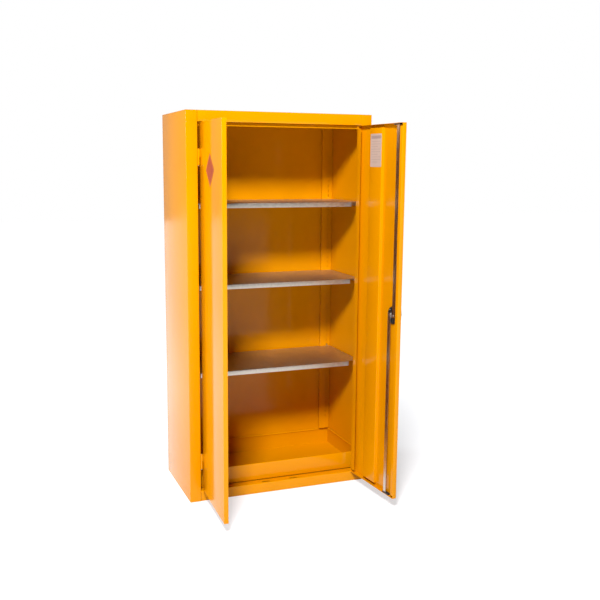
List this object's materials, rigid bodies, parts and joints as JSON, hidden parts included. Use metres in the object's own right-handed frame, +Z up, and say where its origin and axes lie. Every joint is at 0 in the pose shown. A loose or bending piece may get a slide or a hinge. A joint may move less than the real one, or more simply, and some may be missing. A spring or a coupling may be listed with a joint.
{
  "type": "flammable storage cabinet",
  "caption": "Tall two-door cabinet in folded sheet steel with lift-out shelves on clips, a sump tray in the foot, and a turning handle that throws rods at the door's top and foot.",
  "frame": {"origin": "centre of the cabinet's underside, on the floor", "axes": "+Z up, -Y out of the doorway, +Y to the back panel, +X to the cabinet's right-hand side seen from the front"},
  "size_m": [0.9015, 0.8591, 1.8],
  "materials": {
    "yellow_paint": "gloss orange-yellow powder coat",
    "galvanised_steel": "galvanised",
    "bright_steel": "bright zinc plate",
    "black_plastic": "satin black",
    "red_label": "gloss vinyl",
    "pale_label": "satin vinyl"
  },
  "bodies": {
    "cabinet": {"side_panel_left": "yellow_paint", "side_panel_right": "yellow_paint", "back_panel": "yellow_paint", "top_panel": "yellow_paint", "top_door_stop": "yellow_paint", "base_rail": "yellow_paint", "sump_tray": "yellow_paint", "base_channel": "yellow_paint", "upright_front_left": "yellow_paint", "upright_front_right": "yellow_paint", "upright_rear_left": "yellow_paint", "upright_rear_right": "yellow_paint", "shelf_clip_upper_front_left": "bright_steel", "shelf_clip_upper_front_right": "bright_steel", "shelf_clip_upper_rear_left": "bright_steel", "shelf_clip_upper_rear_right": "bright_steel", "shelf_clip_middle_front_left": "bright_steel", "shelf_clip_middle_front_right": "bright_steel", "shelf_clip_middle_rear_left": "bright_steel", "shelf_clip_middle_rear_right": "bright_steel", "shelf_clip_lower_front_left": "bright_steel", "shelf_clip_lower_front_right": "bright_steel", "shelf_clip_lower_rear_left": "bright_steel", "shelf_clip_lower_rear_right": "bright_steel", "hinge_frame_leaf_lower_left": "yellow_paint", "hinge_frame_leaf_lower_right": "yellow_paint", "hinge_frame_leaf_upper_left": "yellow_paint", "hinge_frame_leaf_upper_right": "yellow_paint", "hinge_pin_lower_left": "bright_steel", "hinge_pin_lower_right": "bright_steel", "hinge_pin_upper_left": "bright_steel", "hinge_pin_upper_right": "bright_steel"},
    "shelf_upper": {"shelf_upper": "galvanised_steel"},
    "shelf_middle": {"shelf_middle": "galvanised_steel"},
    "shelf_lower": {"shelf_lower": "galvanised_steel"},
    "door_left": {"door_left_pan": "yellow_paint", "door_left_stiffener": "yellow_paint", "diamond_label": "red_label", "bolt_strap_upper": "bright_steel", "bolt_strap_lower": "bright_steel", "hinge_door_leaf_lower_left": "yellow_paint", "hinge_door_leaf_upper_left": "yellow_paint"},
    "slide_bolt_upper": {"slide_bolt_upper": "bright_steel"},
    "slide_bolt_lower": {"slide_bolt_lower": "bright_steel"},
    "door_right": {"door_right_pan": "yellow_paint", "door_right_stiffener": "yellow_paint", "notice_label": "pale_label", "lock_body": "black_plastic", "handle_bezel": "black_plastic", "rod_guide_upper": "black_plastic", "rod_guide_lower": "black_plastic", "hinge_door_leaf_lower_right": "yellow_paint", "hinge_door_leaf_upper_right": "yellow_paint"},
    "lock_turn": {"handle": "black_plastic", "lock_cam": "bright_steel"},
    "key_barrel": {"key_barrel": "bright_steel"},
    "lock_rod_upper": {"lock_rod_upper": "bright_steel"},
    "lock_rod_lower": {"lock_rod_lower": "bright_steel"}
  },
  "joints": [
    {"name": "door_left_hinge", "type": "hinge", "parent": "cabinet", "child": "door_left", "pos_m": [-0.395, -0.2348, 0.9], "axis": [0, 0, 1], "range_deg": [-22.8, 92.2]},
    {"name": "door_right_hinge", "type": "hinge", "parent": "cabinet", "child": "door_right", "pos_m": [0.395, -0.2348, 0.9], "axis": [0, 0, 1], "range_deg": [-94.15, 20.85]},
    {"name": "lock_turn", "type": "hinge", "parent": "door_right", "child": "lock_turn", "pos_m": [0.40404, -0.56802, 0.9], "axis": [-0.9974, -0.0724, 0], "range_deg": [0, 90]},
    {"name": "rod_upper_pivot", "type": "hinge", "parent": "lock_turn", "child": "lock_rod_upper", "pos_m": [0.40185, -0.58623, 0.9], "axis": [-0.9974, -0.0724, 0], "range_deg": [-90, 0]},
    {"name": "rod_lower_pivot", "type": "hinge", "parent": "lock_turn", "child": "lock_rod_lower", "pos_m": [0.39925, -0.55032, 0.9], "axis": [-0.9974, -0.0724, 0], "range_deg": [-90, 0]},
    {"name": "key_turn", "type": "hinge", "parent": "lock_turn", "child": "key_barrel", "pos_m": [0.44683, -0.56491, 0.9], "axis": [0.9974, 0.0724, 0], "range_deg": [0, 90]},
    {"name": "bolt_upper_slide", "type": "slide", "parent": "door_left", "child": "slide_bolt_upper", "axis": [0, 0, 1], "range_m": [0, 0.018]},
    {"name": "bolt_lower_slide", "type": "slide", "parent": "door_left", "child": "slide_bolt_lower", "axis": [0, 0, 1], "range_m": [-0.018, 0]},
    {"name": "shelf_upper_lift", "type": "slide", "parent": "cabinet", "child": "shelf_upper", "axis": [0, 0, 1], "range_m": [0, 0.05]},
    {"name": "shelf_middle_lift", "type": "slide", "parent": "cabinet", "child": "shelf_middle", "axis": [0, 0, 1], "range_m": [0, 0.05]},
    {"name": "shelf_lower_lift", "type": "slide", "parent": "cabinet", "child": "shelf_lower", "axis": [0, 0, 1], "range_m": [0, 0.05]}
  ],
  "couplings": [
    {"joint": "rod_upper_pivot", "follows": "lock_turn", "ratio": -1},
    {"joint": "rod_lower_pivot", "follows": "lock_turn", "ratio": -1}
  ]
}
